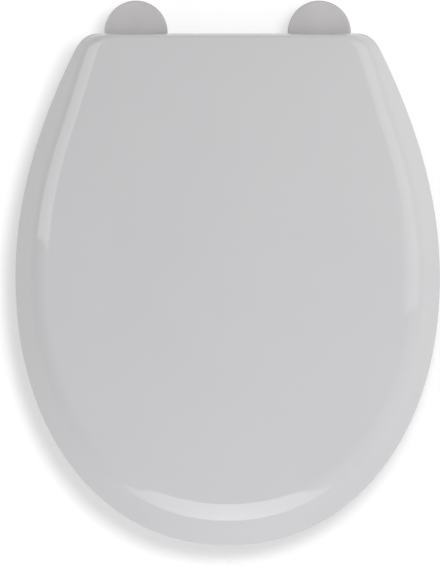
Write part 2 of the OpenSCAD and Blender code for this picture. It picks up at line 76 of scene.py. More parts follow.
def makeFinish(name, look):
    finish = bpy.data.materials.new(name)
    finish.use_nodes = True
    tree = finish.node_tree
    shader = tree.nodes["Principled BSDF"]
    shader.inputs["Metallic"].default_value = look.get("metallic", 0)
    shader.inputs["IOR"].default_value = look.get("ior", 1.5)
    shader.inputs["Specular IOR Level"].default_value = look.get("specular", 0.5)
    coords = tree.nodes.new("ShaderNodeTexCoord").outputs["Object"]
    stretch = look.get("stretch", (1, 1, 1))
    # colour drifts between two close tones
    tone = speckle(tree, coords, look["toneScale"], 4.0, stretch)
    ramp = tree.nodes.new("ShaderNodeValToRGB")
    ramp.color_ramp.elements[0].position = 0.35
    ramp.color_ramp.elements[1].position = 0.65
    ramp.color_ramp.elements[0].color = (*look["dark"], 1)
    ramp.color_ramp.elements[1].color = (*look["light"], 1)
    tree.links.new(tone, ramp.inputs["Fac"])
    tree.links.new(ramp.outputs["Color"], shader.inputs["Base Color"])
    # gloss varies a little from place to place
    gloss = speckle(tree, coords, look["glossScale"], 3.0, stretch)
    spread = addNode(tree, "ShaderNodeMapRange", From_Min=0.3, From_Max=0.7,
                     To_Min=look["roughness"][0], To_Max=look["roughness"][1])
    tree.links.new(gloss, spread.inputs["Value"])
    tree.links.new(spread.outputs["Result"], shader.inputs["Roughness"])
    # each entry of relief is scale, strength and depth in mm
    normal = None
    for scale, strength, depth in look["relief"]:
        grain = speckle(tree, coords, scale, 2.0, stretch)
        bump = addNode(tree, "ShaderNodeBump", Strength=strength, Distance=depth * mm)
        tree.links.new(grain, bump.inputs["Height"])
        if normal:
            tree.links.new(normal, bump.inputs["Normal"])
        normal = bump.outputs["Normal"]
    tree.links.new(normal, shader.inputs["Normal"])
    return finish


thermoset = makeFinish("glossyThermoset", dict(
    dark=(0.545, 0.546, 0.551), light=(0.556, 0.556, 0.560), toneScale=9,
    glossScale=60, roughness=(0.045, 0.065), relief=[(45, 0.03, 0.3), (900, 0.02, 0.05)]))
paleRubber = makeFinish("paleRubber", dict(
    dark=(0.62, 0.61, 0.57), light=(0.68, 0.67, 0.63), toneScale=120, glossScale=300,
    roughness=(0.55, 0.7), specular=0.3, relief=[(2500, 0.2, 0.05)]))
satinMetal = makeFinish("satinMetal", dict(
    dark=(0.455, 0.440, 0.444), light=(0.483, 0.468, 0.472), toneScale=40, metallic=0.15,
    glossScale=500, roughness=(0.48, 0.58), relief=[(3500, 0.12, 0.03)]))
darkRubber = makeFinish("darkRubber", dict(
    dark=(0.018, 0.018, 0.019), light=(0.034, 0.034, 0.035), toneScale=150, glossScale=400,
    roughness=(0.6, 0.8), specular=0.35, relief=[(2200, 0.3, 0.06)]))
steel = makeFinish("zincSteel", dict(
    dark=(0.52, 0.53, 0.54), light=(0.62, 0.63, 0.64), toneScale=90, metallic=1,
    glossScale=700, roughness=(0.24, 0.4), relief=[(3000, 0.1, 0.03)]))
nylon = makeFinish("whiteNylon", dict(
    dark=(0.60, 0.595, 0.57), light=(0.65, 0.645, 0.62), toneScale=60, glossScale=250,
    roughness=(0.38, 0.5), relief=[(1200, 0.12, 0.05)]))
hingePlastic = makeFinish("hingePlastic", dict(
    dark=(0.57, 0.57, 0.575), light=(0.61, 0.61, 0.615), toneScale=50, glossScale=300,
    roughness=(0.3, 0.42), relief=[(1800, 0.12, 0.05)]))
greyPlastic = makeFinish("greyPlastic", dict(
    dark=(0.19, 0.19, 0.195), light=(0.23, 0.23, 0.235), toneScale=80, glossScale=350,
    roughness=(0.35, 0.5), relief=[(2000, 0.15, 0.05)]))
damperPlastic = makeFinish("damperPlastic", dict(
    dark=(0.045, 0.046, 0.048), light=(0.07, 0.071, 0.074), toneScale=80, glossScale=350,
    roughness=(0.35, 0.5), relief=[(2000, 0.12, 0.05)]))
print("finishes made")


# Helpers for modelling

def bend(a, c, b, t):  # leaves a for c and arrives at b
    return [p * (1 - t) ** 2 + q * 2 * t * (1 - t) + r * t * t for p, q, r in zip(a, c, b)]


def softened(points, closed=False, steps=4):
    # a third number at a point is how far its corner is rounded along both legs
    made = []
    count = len(points)
    for i, point in enumerate(points):
        here = point[:2]
        if len(point) < 3 or (not closed and i in (0, count - 1)):
            made.append(here)
            continue
        ends = []
        for other in (points[i - 1], points[(i + 1) % count]):
            leg = Vector(other[:2]) - Vector(here)
            ends.append(Vector(here) + leg.normalized() * point[2])
        made += [bend(ends[0], here, ends[1], k / steps) for k in range(steps + 1)]
    return made


def lathe(profile, closed=True, steps=72):
    bm = bmesh.new()
    verts = [bm.verts.new((r, 0, z)) for r, z in profile]
    edges = [bm.edges.new(pair) for pair in zip(verts, verts[1:])]
    if closed:
        edges.append(bm.edges.new((verts[-1], verts[0])))
    bmesh.ops.spin(bm, geom=verts + edges, cent=(0, 0, 0), axis=(0, 0, 1), dvec=(0, 0, 0),
                   angle=2 * pi, steps=steps, use_merge=True, use_duplicate=False)
    return settle(bm)


def settle(bm):
    bmesh.ops.remove_doubles(bm, verts=bm.verts, dist=0.0005)
    bmesh.ops.recalc_face_normals(bm, faces=bm.faces)
    return bm


def slab(outline, start, depth, bevel=0.0, segments=3):
    # an outline of y and z extruded along x, with its two ends rounded
    bm = bmesh.new()
    face = bm.faces.new([bm.verts.new((start, y, z)) for y, z in outline])
    grown = bmesh.ops.extrude_face_region(bm, geom=[face])["geom"]
    farEnd = [g for g in grown if isinstance(g, bmesh.types.BMVert)]
    bmesh.ops.translate(bm, vec=(depth, 0, 0), verts=farEnd)
    if bevel:
        ends = [e for e in bm.edges if abs(e.verts[0].co.x - e.verts[1].co.x) < 1e-4]
        bmesh.ops.bevel(bm, geom=ends, offset=bevel, offset_type="OFFSET", segments=segments,
                        profile=0.5, affect="EDGES", material=-1, clamp_overlap=True)
    return settle(bm)


def block(low, high):
    bm = bmesh.new()
    bmesh.ops.create_cube(bm, size=1)
    bmesh.ops.translate(bm, vec=(0.5, 0.5, 0.5), verts=bm.verts)
    bmesh.ops.scale(bm, vec=Vector(high) - Vector(low), verts=bm.verts)
    bmesh.ops.translate(bm, vec=low, verts=bm.verts)
    return bm


def rod(radius, start, end, steps=64):
    bm = bmesh.new()
    bmesh.ops.create_cone(bm, cap_ends=True, segments=steps, radius1=radius, radius2=radius,
                          depth=end - start)
    bmesh.ops.translate(bm, vec=(0, 0, (start + end) / 2), verts=bm.verts)
    return bm


def turned(bm, angle, axis):
    bmesh.ops.rotate(bm, cent=(0, 0, 0), matrix=Matrix.Rotation(angle, 3, axis), verts=bm.verts)
    return bm


def axisRod(radius, start, end):  # along x on the hinge axis
    bm = turned(rod(radius, start, end), pi / 2, "Y")
    bmesh.ops.translate(bm, vec=(0, hinge["axisY"], hinge["axisZ"]), verts=bm.verts)
    return bm


def moved(bm, x=0, y=0, z=0):
    bmesh.ops.translate(bm, vec=(x, y, z), verts=bm.verts)
    return bm


def flipped(bm):  # mirrored across the middle of the seat
    bmesh.ops.scale(bm, vec=(-1, 1, 1), verts=bm.verts)
    bmesh.ops.recalc_face_normals(bm, faces=bm.faces)
    return bm


def atHinge(bm, side):
    moved(bm, hinge["x"])
    return flipped(bm) if side < 0 else bm


def together(*parts):
    whole = bmesh.new()
    for part in parts:
        carrier = bpy.data.meshes.new("carrier")
        part.to_mesh(carrier)
        part.free()
        whole.from_mesh(carrier)
        bpy.data.meshes.remove(carrier)
    return whole


def looseObject(bm, name):
    mesh = bpy.data.meshes.new(name)
    bm.to_mesh(mesh)
    bm.free()
    made = bpy.data.objects.new(name, mesh)
    scene.collection.objects.link(made)
    return made


def combined(bm, tool, operation):
    body, other = looseObject(bm, "body"), looseObject(tool, "tool")
    change = body.modifiers.new("change", "BOOLEAN")
    change.operation = operation
    change.solver = "EXACT"
    change.object = other
    bpy.context.view_layer.update()
    result = bmesh.new()
    result.from_object(body, bpy.context.evaluated_depsgraph_get())
    for done in (body, other):
        mesh = done.data
        bpy.data.objects.remove(done)
        bpy.data.meshes.remove(mesh)
    bmesh.ops.remove_doubles(result, verts=result.verts, dist=0.0005)
    bmesh.ops.dissolve_degenerate(result, dist=0.0005, edges=result.edges)
    return result


def finishPiece(bm, name, body, finish, nodes, sharp=35):
    bmesh.ops.scale(bm, vec=(mm, mm, mm), verts=bm.verts)
    piece = looseObject(bm, name)
    piece.data.materials.append(finish)
    for face in piece.data.polygons:
        face.use_smooth = True
    piece.data.set_sharp_from_angle(angle=radians(sharp))
    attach(piece, body)
    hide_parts(*nodes)
    return piece


hinge = dict(x=80, axisY=-12.5, axisZ=33, postHalf=12, postFront=-23.5, postBack=-7.5,
             barrel=9, arcStart=-60, arcEnd=135, arcSteps=28, backMeets=7.48, postBottom=10.3,
             ear=9.5, earOut=12.4, earEnd=24.4, holeEnd=22.9, shaftHole=3.55, keyHalf=2.57,
             bushHole=5.02, studY=-15.5, catchZ=16.5)
sides = {"left": -1, "right": 1}


# The outline that the lid and the ring share

outline = dict(rear=-2.5, front=-447.5, widest=-212.5, span=210, halfWidth=185, narrowing=60,
               sidePower=1.93, frontPower=2.13, corner=13,
               rearSteps=12, cornerSteps=12, sideSteps=36, frontSteps=72)
backSteps = outline["rearSteps"] + outline["cornerSteps"] + outline["sideSteps"]
halfSteps = backSteps + outline["frontSteps"]


def sideX(halfWidth, y):
    behind = max(y - outline["widest"], 0) / outline["span"]
    return halfWidth - outline["narrowing"] * behind ** outline["sidePower"]


def outlinePoint(i, halfWidth, rear, front):
    # stations run from the middle of the rear to the middle of the front, and back on the left
    if i > halfSteps:
        x, y = outlinePoint(2 * halfSteps - i, halfWidth, rear, front)
        return -x, y
    corner = outline["corner"]
    sideStart = rear - corner
    onRear = (sideX(halfWidth, rear) - corner, rear)
    onSide = (sideX(halfWidth, sideStart), sideStart)
    if i <= outline["rearSteps"]:
        return onRear[0] * i / outline["rearSteps"], rear
    i -= outline["rearSteps"]
    if i <= outline["cornerSteps"]:
        return bend(onRear, (sideX(halfWidth, rear), rear), onSide, i / outline["cornerSteps"])
    i -= outline["cornerSteps"]
    widest = outline["widest"]
    if i <= outline["sideSteps"]:
        y = sideStart + (widest - sideStart) * i / outline["sideSteps"]
        return sideX(halfWidth, y), y
    i -= outline["sideSteps"]
    turn = pi / 2 * i / outline["frontSteps"]
    power = 2 / outline["frontPower"]
    return (halfWidth * max(cos(turn), 0) ** power,
            widest - (widest - front) * max(sin(turn), 0) ** power)


def rolledSkin(rows):
    # a flat grid rolled round the outline: every row of the grid takes the places in one row
    around, across = len(rows[0]), len(rows) - 1
    bm = bmesh.new()
    bmesh.ops.create_grid(bm, x_segments=around, y_segments=across, size=1)
    for v in bm.verts:
        i = round((v.co.x + 1) / 2 * around) % around
        j = round((v.co.y + 1) / 2 * across)
        v.co = rows[j][i]
    return settle(bm)


# The ring's outer edge and its opening, which place the pads too

ring = dict(inset=9, frontInset=13, rear=-30, openingRear=-88, openingLength=274, openingWidth=216,
            openingPower=2.1, lift=6, height=24, wall=4.5, crestShare=0.26, midShare=0.5,
            lidPadStations=(39, 87), ringPadStations=(39, 114),
            padRadius=8, pegRadius=2.5, pegLength=5)


def openingPoint(i):
    if i > halfSteps:
        x, y = openingPoint(2 * halfSteps - i)
        return -x, y
    if i <= backSteps:
        turn = -pi / 2 + pi / 2 * i / backSteps
    else:
        turn = pi / 2 * (i - backSteps) / outline["frontSteps"]
    power = 2 / ring["openingPower"]
    middle = ring["openingRear"] - ring["openingLength"] / 2
    reach = ring["openingLength"] / 2 * abs(sin(turn)) ** power
    return (ring["openingWidth"] / 2 * max(cos(turn), 0) ** power,
            middle - reach if turn > 0 else middle + reach)


def ringEdge(i):
    return outlinePoint(i, outline["halfWidth"] - ring["inset"], ring["rear"],
                        outline["front"] + ring["frontInset"])


def padPlaces(share, stations):
    return [tuple(Vector(ringEdge(i)).lerp(Vector(openingPoint(i)), share)) for i in stations]


# Lid

lid = dict(rim=12, rearRim=31, rimRise=78, edge=1.5, top=46.6, shoulder=38.6, wall=3.5, drop=5,
           length=445, crown=1.95, sideSlope=14, frontSlope=21, rearLean=0.8,
           sideBend=15, frontBend=16.5, rearBend=4, bendStart=0.15, bendSteps=14, crownSteps=14,
           webFront=7.6, webRear=8, webRise=11.1, doorLow=21, doorHigh=42.6,
           padTop=30, padRadius=6, pegRadius=2.5, pegLength=5)
lidMiddle = (outline["rear"] + outline["front"]) / 2


def rimZ(y):
    near = max(1 - (outline["rear"] - y) / lid["rimRise"], 0)
    return lid["rim"] + (lid["rearRim"] - lid["rim"]) * near ** 1.5


def lidDrop(y):
    return lid["drop"] * (outline["rear"] - y) / lid["length"]


def borderLoss(y):
    return lid["sideSlope"] * (rimZ(y) - lid["rim"]) / (lid["shoulder"] - lid["rim"])


def lidLoop(sideIn, frontIn, rearIn, z):
    row = []
    for i in range(2 * halfSteps):
        half = outline["halfWidth"] - sideIn
        x, y = outlinePoint(i, half, outline["rear"] - rearIn, outline["front"] + frontIn)
        row.append((x * (1 + borderLoss(y) / sideX(half, y)), y, z - lidDrop(y)))
    return row


def rimLoop(sideIn, rearIn, up):
    row = []
    for i in range(2 * halfSteps):
        x, y = outlinePoint(i, outline["halfWidth"] - sideIn, outline["rear"] - rearIn,
                            outline["front"] + sideIn)
        row.append((x, y, rimZ(y) + up))
    return row


def border(t):
    rise, over = lid["shoulder"] - lid["rim"], lid["top"] - lid["shoulder"]
    sideShare = 1 + over / (rise - lid["drop"] / 2)
    frontShare = 1 + over / (rise - lid["drop"])
    early = lid["bendStart"]  # how far down the slope the rounding begins
    return bend(
        (lid["sideSlope"] * (1 - early), lid["frontSlope"] * (1 - early), lid["rearLean"],
         lid["shoulder"] - rise * early),
        (lid["sideSlope"] * sideShare, lid["frontSlope"] * frontShare, lid["rearLean"] + 0.4,
         lid["top"]),
        (lid["sideSlope"] + lid["sideBend"], lid["frontSlope"] + lid["frontBend"],
         lid["rearLean"] + lid["rearBend"], lid["top"]), t)


def outerLoop(t):
    return lidLoop(*border(t))


def innerLoop(t):
    sideIn, frontIn, rearIn, z = border(t)
    thin = lid["wall"] * (1 - t * 0.9)
    return lidLoop(sideIn + thin, frontIn + thin, rearIn + lid["wall"],
                   z - lid["wall"] * (0.45 + t * 0.55))


def crownLoop(edge, k):
    row = []
    for x, y, z in edge:
        inY = lidMiddle + (y - lidMiddle) * k
        row.append((x * k, inY, z + lidDrop(y) - lidDrop(inY) + lid["crown"] * (1 - k * k)))
    return row


def blended(first, last, steps):
    rows = []
    for step in range(1, steps):
        t = step / steps
        rows.append([tuple(Vector(a).lerp(Vector(b), t)) for a, b in zip(first, last)])
    return rows


def lidSkin():
    topEdge, underEdge = outerLoop(1), innerLoop(1)
    edgeLoop, slopeTop = rimLoop(0, 0, lid["edge"]), outerLoop(0)
    rows = [crownLoop(underEdge, k / lid["crownSteps"]) for k in range(lid["crownSteps"])]
    rows += [innerLoop(1 - t / lid["bendSteps"]) for t in range(lid["bendSteps"] + 1)]
    # the wall's foot, then the rim's small rounding out to the slope
    rows += [rimLoop(lid["wall"] + 0.8, lid["wall"], 0.4)]
    rows += [rimLoop(*bend((1, 0.6, 0), (0.12, 0.08, 0), (0, 0, lid["edge"]), t / 4))
             for t in range(5)]
    rows += blended(edgeLoop, slopeTop, 5)
    rows += [outerLoop(t / lid["bendSteps"]) for t in range(lid["bendSteps"] + 1)]
    rows += [crownLoop(topEdge, 1 - k / lid["crownSteps"]) for k in range(1, lid["crownSteps"] + 1)]
    return rolledSkin(rows)


def mirrored(bm):  # the same again on the other side
    copy = bm.copy()
    return together(bm, flipped(copy))


def padPosts(places, radius, low, high):
    posts = [mirrored(moved(rod(radius, low, high), x, y)) for x, y in places]
    return together(*posts)


def intoWall(posts, skin, low, depth):  # each post ends a little way into the wall above it
    wall = BVHTree.FromBMesh(skin)
    for vert in posts.verts:
        if vert.co.z > low:
            under = wall.ray_cast(Vector((vert.co.x, vert.co.y, low)), Vector((0, 0, 1)))[0]
            vert.co.z = under.z + depth
    bmesh.ops.triangulate(posts, faces=[face for face in posts.faces if len(face.verts) > 4])
    return posts


def keyedRod(start, end):  # two flats make the damper's shaft turn with the ear
    low = (start - 1, hinge["axisY"] - hinge["keyHalf"], hinge["axisZ"] - hinge["barrel"])
    high = (end + 1, hinge["axisY"] + hinge["keyHalf"], hinge["axisZ"] + hinge["barrel"])
    return combined(axisRod(hinge["shaftHole"], start, end), block(low, high), "INTERSECT")


def buildLid():
    places = padPlaces(ring["crestShare"], ring["lidPadStations"])
    skin = lidSkin()
    ears = mirrored(moved(axisRod(hinge["ear"], hinge["earOut"], hinge["earEnd"]), hinge["x"]))
    bosses = intoWall(padPosts(places, lid["padRadius"] + 1, lid["padTop"], lid["shoulder"]),
                      skin, lid["padTop"] + 0.01, 0.3 * lid["wall"])
    skin = combined(skin, together(ears, bosses), "UNION")
    webs = mirrored(block(
        (hinge["x"] + hinge["earOut"], hinge["axisY"] - lid["webFront"], hinge["axisZ"]),
        (hinge["x"] + hinge["earEnd"], hinge["axisY"] + lid["webRear"],
         hinge["axisZ"] + lid["webRise"])))
    skin = combined(skin, webs, "UNION")
    doorways = mirrored(block(
        (hinge["x"] - hinge["earEnd"] - 1, hinge["postFront"] - 4, lid["doorLow"]),
        (hinge["x"] + hinge["earOut"], outline["rear"] + 1, lid["doorHigh"])))
    skin = combined(skin, doorways, "DIFFERENCE")
    shaftHole = atHinge(keyedRod(hinge["earOut"] - 1, hinge["holeEnd"]), -1)
    bushHole = atHinge(axisRod(hinge["bushHole"], hinge["earOut"] - 1, hinge["holeEnd"]), 1)
    pegHoles = padPosts(places, lid["pegRadius"] + 0.05, lid["padTop"] - 1,
                        lid["padTop"] + lid["pegLength"] + 0.3)
    skin = combined(skin, together(shaftHole, bushHole, pegHoles), "DIFFERENCE")
    return finishPiece(skin, "lidMoulding", "lid", thermoset, ["lid"])


buildLid()
print("lid modelled")


# Ring

def throughPoints(points, steps):  # a smooth line that passes every point
    made = []
    for i in range(len(points) - 1):
        around = [points[min(max(i + k, 0), len(points) - 1)] for k in (-1, 0, 1, 2)]
        for step in range(steps):
            t = step / steps
            made.append([
                0.5 * (2 * b + (c - a) * t + (2 * a - 5 * b + 4 * c - d) * t * t
                       + (3 * b - a - 3 * c + d) * t ** 3)
                for a, b, c, d in zip(*around)])
    return made + [list(points[-1])]


def ringSkin():
    lift, height, wall = ring["lift"], ring["height"], ring["wall"]
    side = wall / (outline["halfWidth"] - ring["inset"] - ring["openingWidth"] / 2)
    # share of the way from the outer outline to the opening, and height
    upper = [(0.015, lift), (0, lift + 2.5), (0.008, lift + 7), (0.05, height - 5.5),
             (0.13, height - 1.8), (ring["crestShare"], height), (0.45, height - 0.6), (0.7, height - 3.2),
             (0.89, height - 7), (0.97, height - 10.5), (1, lift + 4), (0.985, lift)]
    under = [(0.985 - side, lift), (0.9, height - 7 - wall), (0.68, height - 3.4 - wall),
             (0.3, height - 0.4 - wall), (0.16, height - 1.8 - wall), (0.015 + side, lift)]
    section = throughPoints(upper, 4) + throughPoints(under, 3)
    outer = [ringEdge(i) for i in range(2 * halfSteps)]
    inner = [openingPoint(i) for i in range(2 * halfSteps)]
    rows = []
    for share, z in section + section[:1]:
        rows.append([(a[0] * (1 - share) + b[0] * share, a[1] * (1 - share) + b[1] * share, z)
                     for a, b in zip(outer, inner)])
    return rolledSkin(rows)


def buildRing():
    places = padPlaces(ring["midShare"], ring["ringPadStations"])
    skin = ringSkin()
    ears = mirrored(moved(axisRod(hinge["ear"], -hinge["earEnd"], -hinge["earOut"]), hinge["x"]))
    bosses = padPosts(places, ring["padRadius"] + 1, ring["lift"] - 1,
                      ring["height"] - ring["wall"])
    skin = combined(skin, together(ears, bosses), "UNION")
    y, z, r = hinge["axisY"], hinge["axisZ"], hinge["ear"]
    arm = slab(softened([
        (y - r * 0.3, z + r * 0.9), (ring["rear"] - 4, ring["height"] - 3),
        (ring["rear"] - 4, ring["lift"] + 3), (ring["rear"] + 1, ring["lift"] + 3),
        (y + r * 0.3, z - r * 0.9)], closed=True), hinge["x"] - hinge["earEnd"], 12)
    skin = combined(skin, mirrored(arm), "UNION")
    bushHole = atHinge(axisRod(hinge["bushHole"], -hinge["holeEnd"], 1 - hinge["earOut"]), -1)
    shaftHole = atHinge(keyedRod(-hinge["holeEnd"], 1 - hinge["earOut"]), 1)
    pegHoles = padPosts(places, ring["pegRadius"] + 0.05, ring["lift"] - 2,
                        ring["lift"] - 1 + ring["pegLength"] + 0.3)
    skin = combined(skin, together(shaftHole, bushHole, pegHoles), "DIFFERENCE")
    return finishPiece(skin, "ringMoulding", "ring", thermoset, ["seat_ring"])


buildRing()
print("ring modelled")


# Rubber pads under the ring and the lid

def padShape(low, top, radius, peg, pegLength):
    return lathe(softened([
        (0, low), (radius, low, 1.2), (radius, top, 0.5), (peg, top, 0.3),
        (peg - 0.35, top + 1.2, 0.3), (peg, top + 2, 0.5), (peg, top + pegLength, 0.8),
        (0, top + pegLength)]), closed=False, steps=48)


def buildPads():
    r, c = ring, lid
    top = r["lift"] - 1
    pads = [mirrored(moved(padShape(0, top, r["padRadius"], r["pegRadius"], r["pegLength"]), x, y))
            for x, y in padPlaces(r["midShare"], r["ringPadStations"])]
    finishPiece(together(*pads), "ringPads", "ring", paleRubber, ["ring_buffers"])
    low, top = r["height"] + 0.3, c["padTop"]
    pads = [mirrored(moved(padShape(low, top, c["padRadius"], c["pegRadius"], c["pegLength"]), x, y))
            for x, y in padPlaces(r["crestShare"], r["lidPadStations"])]
    finishPiece(together(*pads), "lidPads", "lid", paleRubber, ["lid_buffers"])


buildPads()
print("pads modelled")


# Fixings: disc, gasket, plate, stud, bolt, washer and nut of each side

fixing = dict(disc=27.5, discTop=10, discUnder=8.5, discBevel=1.3, plate=25, gasketTop=1.5,
              plateTop=5, bolt=4, shoulder=4.5, thread=3.97, threadTop=-12, boltLow=-60,
              headRadius=7.4, headTop=8.3, pitch=1.25, socket=2.88, stud=4, studTop=22.5,
              neck=3.2, wire=0.8, pan=20, washer=13, washerHeight=5, coneFoot=7.5, coneRise=8,
              nut=9, nutHeight=12, wing=20)


def buildDisc(name, side):
    f = fixing
    wall = f["disc"] - 1.5
    shape = lathe(softened([
        (0, f["discUnder"]), (wall, f["discUnder"], 0.6), (wall, 0.3, 0.3), (f["disc"], 0.3, 0.3),
        (f["disc"], f["discTop"] - f["discBevel"], 0.35),
        (f["disc"] - f["discBevel"], f["discTop"], 0.35), (0, f["discTop"])]),
        closed=False, steps=128)
    hole = moved(rod(f["stud"] + 0.3, f["discUnder"] - 1, f["discTop"] + 1), 0, hinge["studY"])
    shape = atHinge(combined(shape, hole, "DIFFERENCE"), side)
    finishPiece(shape, name + "CoverDisc", "fixings", satinMetal,
                [name + "_cover_disc"], 25)


def buildGasket(name, side):
    f = fixing
    shape = lathe(softened([
        (f["shoulder"] + 0.3, 0, 0.2), (f["plate"], 0, 0.4), (f["plate"], f["gasketTop"], 0.4),
        (f["shoulder"] + 0.3, f["gasketTop"], 0.2)], closed=True), steps=96)
    finishPiece(atHinge(shape, side), name + "Gasket", "fixings", darkRubber,
                [name + "_gasket"])


def buildPlate(name, side):
    f = fixing
    shape = lathe(softened([
        (f["shoulder"] + 0.05, f["gasketTop"], 0.2), (f["plate"], f["gasketTop"], 0.2),
        (f["plate"], f["plateTop"], 0.7), (f["shoulder"] + 0.05, f["plateTop"], 0.3)], closed=True),
        steps=96)
    hole = moved(rod(f["stud"] - 1.35, 0, f["plateTop"] + 1), 0, hinge["studY"])
    shape = atHinge(combined(shape, hole, "DIFFERENCE"), side)
    finishPiece(shape, name + "BasePlate", "fixings", steel, [name + "_base_plate"])


def buildStud(name, side):
    f = fixing
    low, high = hinge["catchZ"] - f["wire"] - 0.1, hinge["catchZ"] + f["wire"] + 0.1
    shape = lathe(softened([
        (0, f["gasketTop"] + 0.1), (f["stud"] - 1.4, f["gasketTop"] + 0.1, 0.2),
        (f["stud"] - 1.4, f["plateTop"]), (f["stud"] + 2, f["plateTop"], 0.3),
        (f["stud"] + 2, f["discUnder"] - 0.2, 0.4), (f["stud"], f["discUnder"] - 0.2, 0.3),
        (f["stud"], low, 0.15), (f["neck"], low, 0.15), (f["neck"], high, 0.15),
        (f["stud"], high, 0.15), (f["stud"], f["studTop"] - 2, 0.5),
        (f["stud"] - 1.8, f["studTop"], 0.4), (0, f["studTop"])]), closed=False, steps=48)
    moved(shape, 0, hinge["studY"])
    finishPiece(atHinge(shape, side), name + "Stud", "fixings", steel, [name + "_stud"])


def threadedRod(radius, pitch, low, high, steps=28):
    depth = 0.54 * pitch
    turns = int((high - low) / pitch) + 3
    flank = [(radius - depth, 0), (radius, 0.42), (radius, 0.58), (radius - depth, 0.95),
             (radius - depth, 1)]
    bm = bmesh.new()
    verts = [bm.verts.new((r, 0, low + (share - 2) * pitch)) for r, share in flank]
    edges = [bm.edges.new(pair) for pair in zip(verts, verts[1:])]
    bmesh.ops.spin(bm, geom=verts + edges, cent=(0, 0, 0), axis=(0, 0, 1),
                   dvec=(0, 0, pitch / steps), angle=2 * pi * turns, steps=turns * steps,
                   use_merge=False, use_duplicate=False)
    bmesh.ops.remove_doubles(bm, verts=bm.verts, dist=0.01)
    for level, way in ((low, -1), (high, 1)):
        cut = bmesh.ops.bisect_plane(
            bm, geom=bm.verts[:] + bm.edges[:] + bm.faces[:], plane_co=(0, 0, level),
            plane_no=(0, 0, way), clear_outer=True, dist=0.0001)
        rimEdges = [g for g in cut["geom_cut"] if isinstance(g, bmesh.types.BMEdge)]
        bmesh.ops.contextual_create(bm, geom=rimEdges)
    for v in bm.verts:  # the tip is chamfered
        most = radius - 1.2 + 0.8 * (v.co.z - low)
        reach = Vector((v.co.x, v.co.y)).length
        if reach > most:
            v.co.x *= most / reach
            v.co.y *= most / reach
    return settle(bm)


def buildBolt(name, side):
    f = fixing
    top = f["threadTop"]
    shank = lathe(softened([
        (0, top - 0.4), (f["thread"] - 0.9, top - 0.4), (f["bolt"], top + 1.2, 0.3), (f["bolt"], 0, 0.2),
        (f["shoulder"], 0, 0.1), (f["shoulder"], f["plateTop"]),
        (f["headRadius"], f["plateTop"], 0.3), (f["headRadius"], f["headTop"], 0.7),
        (0, f["headTop"])]), closed=False, steps=64)
    shape = combined(shank, threadedRod(f["thread"], f["pitch"], f["boltLow"], top + 0.3), "UNION")
    socket = rod(f["socket"], f["plateTop"] + 0.8, f["headTop"] + 1, 6)
    shape = combined(shape, socket, "DIFFERENCE")
    finishPiece(atHinge(shape, side), name + "Bolt", "fixings", steel,
                [name + "_bolt"], 28)


def buildWasher(name, side):
    f = fixing
    under, face = -f["pan"] - f["washerHeight"], -f["pan"]
    hole = f["bolt"] + 0.1
    shape = lathe(softened([
        (hole, under, 0.3), (f["washer"], under, 0.8), (f["washer"], face, 0.8),
        (f["coneFoot"], face, 0.5), (hole + 1.3, face + f["coneRise"], 0.4),
        (hole, face + f["coneRise"], 0.3)], closed=True), steps=72)
    finishPiece(atHinge(shape, side), name + "ConeWasher", "fixings", darkRubber,
                [name + "_cone_washer"])


def buildNut(name, side):
    f = fixing
    top = -f["pan"] - f["washerHeight"]
    low, hole = top - f["nutHeight"], f["bolt"] + 0.05
    shape = lathe(softened([
        (hole, low, 0.4), (f["nut"], low, 0.8), (f["nut"], top - 2.5, 0.5),
        (f["nut"] + 2.5, top - 2.5, 0.4), (f["nut"] + 2.5, top, 0.4), (hole, top, 0.4)],
        closed=True), steps=64)
    wing = slab(softened([
        (f["nut"] - 2, low + 1), (f["wing"] - 3, low - 5, 2), (f["wing"], low - 2, 2),
        (f["wing"] - 1, top - 7, 2.5), (f["nut"] - 2, top - 3.5)], closed=True), -2, 4, 1.1, 4)
    other = turned(wing.copy(), pi, "Z")
    wings = turned(together(wing, other), -pi / 2, "Z")
    shape = combined(shape, wings, "UNION")
    finishPiece(atHinge(shape, side), name + "WingNut", "fixings", nylon,
                [name + "_wing_nut"])


for sideName, sideSign in sides.items():
    for build in (buildDisc, buildGasket, buildPlate, buildStud, buildBolt, buildWasher, buildNut):
        build(sideName, sideSign)
print("fixings modelled")


# Hinge posts, their catches and buttons; lengths run outward from the post's middle

catch = dict(travel=2.5, noseStart=6.9, noseLength=1.1, neckLength=1.9, rampLength=2.2, nose=2.2,
             neck=1.2, button=4.2, legY=4.1, damperBore=6.55, damperLength=16,
             pinBore=3.02, pinDepth=6.8)


